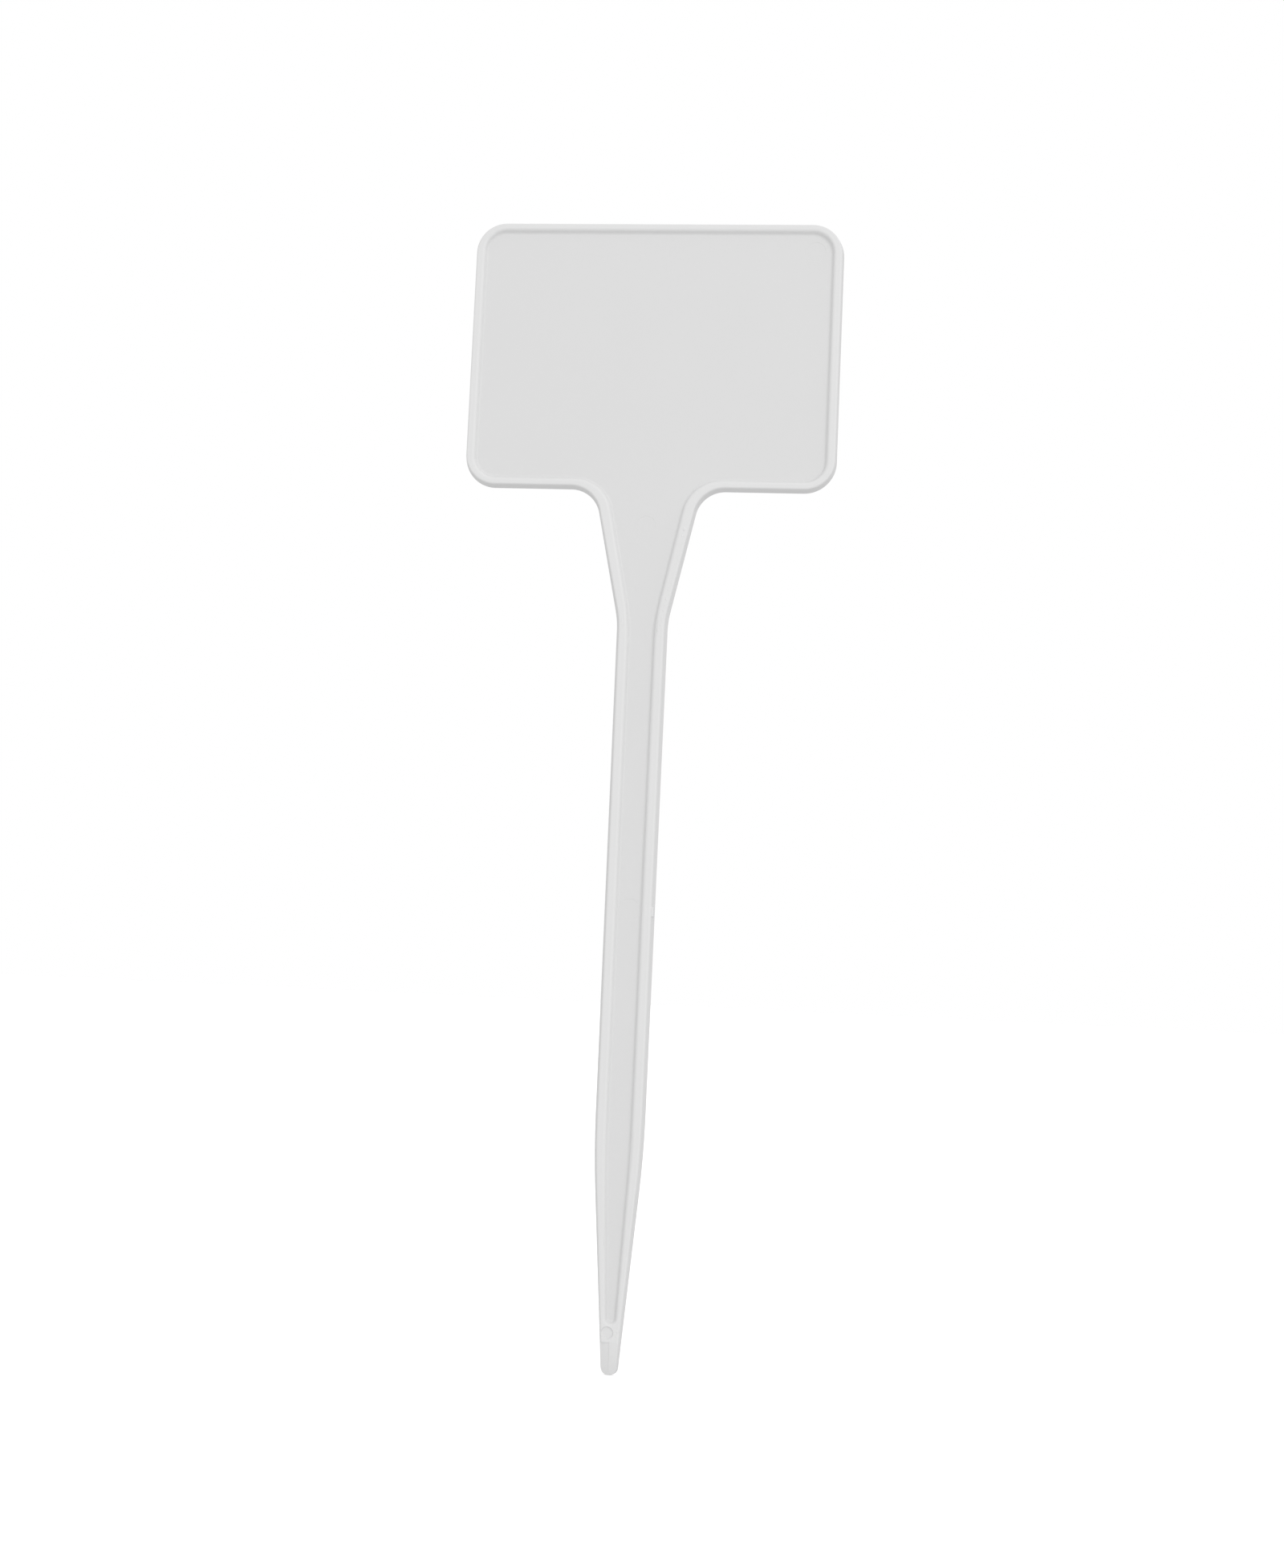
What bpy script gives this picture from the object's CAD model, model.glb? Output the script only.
"""Plant label stake: materials, small mould traces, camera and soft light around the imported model."""
import math

import bmesh
import bpy
from mathutils import Matrix, Vector


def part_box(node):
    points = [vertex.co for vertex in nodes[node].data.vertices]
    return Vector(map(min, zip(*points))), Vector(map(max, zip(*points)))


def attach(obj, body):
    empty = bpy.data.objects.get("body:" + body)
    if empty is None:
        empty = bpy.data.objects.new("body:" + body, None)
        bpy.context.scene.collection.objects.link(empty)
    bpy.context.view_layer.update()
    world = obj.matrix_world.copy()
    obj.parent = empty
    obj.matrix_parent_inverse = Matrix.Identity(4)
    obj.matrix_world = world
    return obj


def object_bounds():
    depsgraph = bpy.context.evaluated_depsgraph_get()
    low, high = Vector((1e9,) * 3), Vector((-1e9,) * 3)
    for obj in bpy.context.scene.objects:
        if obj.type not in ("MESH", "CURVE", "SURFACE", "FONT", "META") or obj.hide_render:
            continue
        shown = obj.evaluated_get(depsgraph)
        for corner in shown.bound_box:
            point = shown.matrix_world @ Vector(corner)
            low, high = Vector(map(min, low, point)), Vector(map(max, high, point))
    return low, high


MM = 0.001
WHITE = (1, 1, 1, 1)

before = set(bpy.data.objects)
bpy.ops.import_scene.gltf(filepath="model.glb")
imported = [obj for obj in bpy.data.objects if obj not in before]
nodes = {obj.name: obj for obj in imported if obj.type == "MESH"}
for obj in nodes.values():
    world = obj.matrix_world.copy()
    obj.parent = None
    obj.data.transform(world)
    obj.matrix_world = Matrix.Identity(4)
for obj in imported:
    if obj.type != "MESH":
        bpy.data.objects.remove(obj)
cad_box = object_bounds()
scene = bpy.context.scene
scene.view_settings.view_transform = "Standard"

# Camera, solved from the edges of the head and stem in the photograph's 1600 x 1954 frame
PHOTO_HEIGHT_PX = 1954
FOCAL_PX = 2400.0
SENSOR = 36.0
AIM = Vector((1.68, -1.02, 125.08)) * MM
DISTANCE = 415.36 * MM
YAW = math.radians(6.07)
PITCH = math.radians(-5.06)
ROLL = math.radians(2.54)
CLIP_START = 10 * MM


def add_camera():
    """Camera that looks at AIM from DISTANCE, turned by yaw, pitch and roll."""
    back = Vector(
        (math.sin(YAW) * math.cos(PITCH), -math.cos(YAW) * math.cos(PITCH), math.sin(PITCH))
    )
    right = Vector((math.cos(YAW), math.sin(YAW), 0))
    up = back.cross(right)
    rolled_right = right * math.cos(ROLL) + up * math.sin(ROLL)
    rolled_up = up * math.cos(ROLL) - right * math.sin(ROLL)
    data = bpy.data.cameras.new("camera")
    data.sensor_fit = "AUTO"
    data.sensor_width = SENSOR
    data.lens = FOCAL_PX * SENSOR / PHOTO_HEIGHT_PX
    data.clip_start = CLIP_START
    camera = bpy.data.objects.new("camera", data)
    scene.collection.objects.link(camera)
    turn = Matrix((rolled_right, rolled_up, back)).transposed().to_4x4()
    camera.matrix_world = Matrix.Translation(AIM + back * DISTANCE) @ turn
    scene.camera = camera


add_camera()


def new_material(name):
    """New node material, with its node tree and its Principled shader."""
    material = bpy.data.materials.new(name)
    material.use_nodes = True
    tree = material.node_tree
    return material, tree, tree.nodes["Principled BSDF"]


def math_node(tree, operation, *values):
    """Output of a math node, whose values are sockets or fixed numbers."""
    node = tree.nodes.new("ShaderNodeMath")
    node.operation = operation
    for slot, value in zip(node.inputs, values):
        if isinstance(value, float):
            slot.default_value = value
        else:
            tree.links.new(value, slot)
    return node.outputs["Value"]


def range_node(tree, value, low, high):
    """Output of a map range node, which takes a value from 0 to 1 to low to high."""
    node = tree.nodes.new("ShaderNodeMapRange")
    node.inputs["To Min"].default_value = low
    node.inputs["To Max"].default_value = high
    tree.links.new(value, node.inputs["Value"])
    return node.outputs["Result"]


def noise_node(tree, coords, scale, detail):
    """Output of a noise texture, from 0 to 1."""
    node = tree.nodes.new("ShaderNodeTexNoise")
    node.inputs["Scale"].default_value = scale
    node.inputs["Detail"].default_value = detail
    tree.links.new(coords, node.inputs["Vector"])
    return node.outputs["Fac"]


# Levels of the relief: front crest of the borders, and floor of the recess
CREST_Y = cad_box[0][1]
RECESS_Y = min(vertex.co.y for vertex in nodes["label_panel"].data.vertices)

# White moulded plastic: its tone and roughness at these two levels, a broad mottle and a fine grain
CREST_TONE = 0.79
RECESS_TONE = 0.748
ROUGHNESS = 0.6
RECESS_ROUGHER = 0.03
MOTTLE_SCALE = 45.0
MOTTLE_DETAIL = 3.0
MOTTLE_DARKEST = 0.985
MOTTLE_LIGHTEST = 1.012
MOTTLE_ROUGHNESS = 0.04
GRAIN_SCALE = 1200.0
GRAIN_DETAIL = 2.0
GRAIN_STRENGTH = 0.25
WEB_GRAIN_DEPTH = 0.03 * MM
BORDER_GRAIN_DEPTH = 0.02 * MM
PLASTIC_IOR = 1.49
SPECULAR_LEVEL = 0.35


def relief_depth(tree, coords):
    """Socket that goes smoothly from 0 at the crest of the borders to 1 at the floor of the recess."""
    axes = tree.nodes.new("ShaderNodeSeparateXYZ")
    tree.links.new(coords, axes.inputs["Vector"])
    depth = tree.nodes.new("ShaderNodeMapRange")
    depth.interpolation_type = "SMOOTHSTEP"
    depth.inputs["From Min"].default_value = CREST_Y
    depth.inputs["From Max"].default_value = RECESS_Y
    tree.links.new(axes.outputs["Y"], depth.inputs["Value"])
    return depth.outputs["Result"]


def plastic(name, grain_depth):
    """White plastic, a little darker and rougher in the thin recess than on the crests."""
    material, tree, shader = new_material(name)
    link = tree.links.new
    coords = tree.nodes.new("ShaderNodeTexCoord").outputs["Object"]
    depth = relief_depth(tree, coords)
    mottle = noise_node(tree, coords, MOTTLE_SCALE, MOTTLE_DETAIL)

    tone = range_node(tree, depth, CREST_TONE, RECESS_TONE)
    tint = range_node(tree, mottle, MOTTLE_DARKEST, MOTTLE_LIGHTEST)
    link(math_node(tree, "MULTIPLY", tone, tint), shader.inputs["Base Color"])

    gloss = range_node(tree, mottle, ROUGHNESS - MOTTLE_ROUGHNESS, ROUGHNESS + MOTTLE_ROUGHNESS)
    worn = math_node(tree, "MULTIPLY_ADD", depth, RECESS_ROUGHER, gloss)
    link(worn, shader.inputs["Roughness"])

    bump = tree.nodes.new("ShaderNodeBump")
    bump.inputs["Strength"].default_value = GRAIN_STRENGTH
    bump.inputs["Distance"].default_value = grain_depth
    link(noise_node(tree, coords, GRAIN_SCALE, GRAIN_DETAIL), bump.inputs["Height"])
    link(bump.outputs["Normal"], shader.inputs["Normal"])

    shader.inputs["IOR"].default_value = PLASTIC_IOR
    shader.inputs["Specular IOR Level"].default_value = SPECULAR_LEVEL
    return material


web_plastic = plastic("web_plastic", WEB_GRAIN_DEPTH)
border_plastic = plastic("border_plastic", BORDER_GRAIN_DEPTH)

WEB_NODES = ("label_panel", "neck_web", "stem_web")
for name, node in nodes.items():
    node.data.materials.clear()
    node.data.materials.append(web_plastic if name in WEB_NODES else border_plastic)


# Rough spots: low lumps that the mould left on the neck's borders and beside the dish in the point.
# Each is a side, then in millimetres the height above the tip, the distance in from the outline,
# the half width, the half length and the rise above the crest.
NECK_SPOTS = (
    (1, 181.0, 1.4, 0.58, 0.7, 0.12),
    (1, 179.5, 1.5, 0.36, 0.45, 0.07),
    (1, 167.6, 1.5, 0.4, 0.5, 0.08),
    (1, 165.5, 1.5, 0.38, 0.42, 0.07),
    (1, 164.2, 1.46, 0.38, 0.42, 0.07),
    (1, 163.0, 1.42, 0.36, 0.42, 0.07),
    (1, 161.3, 1.3, 0.44, 0.9, 0.05),
    (1, 159.9, 1.25, 0.46, 0.85, 0.07),
    (1, 158.4, 1.3, 0.42, 0.7, 0.05),
    (-1, 160.6, 1.3, 0.42, 0.9, 0.05),
    (-1, 159.2, 1.3, 0.38, 0.7, 0.04),
)
POINT_SPOTS = (
    (1, 10.3, 1.1, 0.32, 0.42, 0.05),
    (1, 9.3, 1.15, 0.4, 0.5, 0.07),
    (1, 8.2, 1.2, 0.34, 0.45, 0.05),
)

# Mesh of a lump: its rings and spokes, how far its foot is sunk in the crest, and its ragged edge
SPOT_RINGS = 9
SPOT_SPOKES = 28
SPOT_SINK = 0.035
SPOT_RAGGED = 0.16
SPOT_LOBES = 3
SPOT_SWAYS = 2


def outline_x(low_node, high_node, height):
    """Half width of the outline at a height, on the line through the upper corners of two nodes."""
    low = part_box(low_node)[1]
    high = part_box(high_node)[1]
    share = (height * MM - low[2]) / (high[2] - low[2])
    return low[0] + (high[0] - low[0]) * share


def ragged_share(angle, turn):
    """How far the edge of a lump is out or in at an angle, from -1 to 1."""
    return math.sin(SPOT_LOBES * angle + turn) * math.cos(SPOT_SWAYS * angle - turn)


def add_spot(mesh, center_x, center_z, half_width, half_length, rise, turn):
    """Closed lump with a ragged edge and a soft crown, its flat foot sunk in a border's crest."""
    crown = mesh.verts.new((center_x, CREST_Y - rise * MM, center_z))
    inner = None
    for ring in range(1, SPOT_RINGS + 1):
        share = ring / SPOT_RINGS
        level = (rise + SPOT_SINK) * (1 + math.cos(math.pi * share)) / 2 - SPOT_SINK
        row = []
        for spoke in range(SPOT_SPOKES):
            angle = 2 * math.pi * spoke / SPOT_SPOKES
            reach = share * (1 + SPOT_RAGGED * share * ragged_share(angle, turn))
            x = center_x + half_width * MM * reach * math.cos(angle)
            z = center_z + half_length * MM * reach * math.sin(angle)
            row.append(mesh.verts.new((x, CREST_Y - level * MM, z)))
        for spoke in range(SPOT_SPOKES):
            after = (spoke + 1) % SPOT_SPOKES
            if inner is None:
                mesh.faces.new((crown, row[spoke], row[after]))
            else:
                mesh.faces.new((inner[spoke], row[spoke], row[after], inner[after]))
        inner = row
    mesh.faces.new(inner)


def add_spots(name, spots, low_node, high_node):
    """One piece with a group of rough spots, set in from the outline through two nodes' corners."""
    mesh = bmesh.new()
    for turn, (side, height, inset, half_width, half_length, rise) in enumerate(spots):
        center_x = side * (outline_x(low_node, high_node, height) - inset * MM)
        add_spot(mesh, center_x, height * MM, half_width, half_length, rise, turn)
    bmesh.ops.recalc_face_normals(mesh, faces=mesh.faces)
    data = bpy.data.meshes.new(name)
    mesh.to_mesh(data)
    mesh.free()
    for face in data.polygons:
        face.use_smooth = True
    piece = bpy.data.objects.new(name, data)
    scene.collection.objects.link(piece)
    data.materials.append(border_plastic)
    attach(piece, "root")


add_spots("neck_rough_spots", NECK_SPOTS, "stem_flange_right", "neck_flange_right")
add_spots("point_rough_spots", POINT_SPOTS, "solid_point", "stem_flange_right")


# Floor and light
FLOOR_SIZE = 6.0
FLOOR_COLOR = 0.8
FLOOR_ROUGHNESS = 0.9
FLOOR_LIFT = 0.5
WORLD_STRENGTH = 0.75
BACKDROP_STRENGTH = 1.0
KEY_DIRECTION = Vector((0.38, -0.85, 0.38))
KEY_DISTANCE = 4.0
KEY_SIZE = 3.0
KEY_ENERGY = 47.5


def seen_rays(tree):
    """Socket that is 1 on rays from the camera, in gloss and through clear material, and else 0."""
    path = tree.nodes.new("ShaderNodeLightPath")
    seen = path.outputs["Is Camera Ray"]
    for kind in ("Is Glossy Ray", "Is Transmission Ray"):
        seen = math_node(tree, "MAXIMUM", seen, path.outputs[kind])
    return seen


def add_floor():
    """Pale floor under the tip, white to the camera except where the object shades it."""
    mesh = bpy.data.meshes.new("floor")
    half = FLOOR_SIZE / 2
    mesh.from_pydata(
        [(-half, -half, 0), (half, -half, 0), (half, half, 0), (-half, half, 0)], [], [(0, 1, 2, 3)]
    )
    floor = bpy.data.objects.new("floor", mesh)
    scene.collection.objects.link(floor)
    material, tree, shader = new_material("floor")
    shader.inputs["Base Color"].default_value = (FLOOR_COLOR, FLOOR_COLOR, FLOOR_COLOR, 1)
    shader.inputs["Roughness"].default_value = FLOOR_ROUGHNESS
    shader.inputs["Emission Color"].default_value = WHITE
    lift = math_node(tree, "MULTIPLY", seen_rays(tree), FLOOR_LIFT)
    tree.links.new(lift, shader.inputs["Emission Strength"])
    mesh.materials.append(material)


def add_world():
    """Even soft light all round, with white behind the object."""
    world = bpy.data.worlds.new("world")
    scene.world = world
    world.use_nodes = True
    tree = world.node_tree
    background = tree.nodes["Background"]
    background.inputs["Color"].default_value = WHITE
    strength = range_node(tree, seen_rays(tree), WORLD_STRENGTH, BACKDROP_STRENGTH)
    tree.links.new(strength, background.inputs["Strength"])


def add_key():
    """Large soft lamp to the upper right, in front of the object."""
    data = bpy.data.lights.new("key", "AREA")
    data.shape = "SQUARE"
    data.size = KEY_SIZE
    data.energy = KEY_ENERGY
    lamp = bpy.data.objects.new("key", data)
    scene.collection.objects.link(lamp)
    direction = KEY_DIRECTION.normalized()
    lamp.location = AIM + direction * KEY_DISTANCE
    lamp.rotation_euler = direction.to_track_quat("Z", "Y").to_euler()


add_floor()
add_world()
add_key()
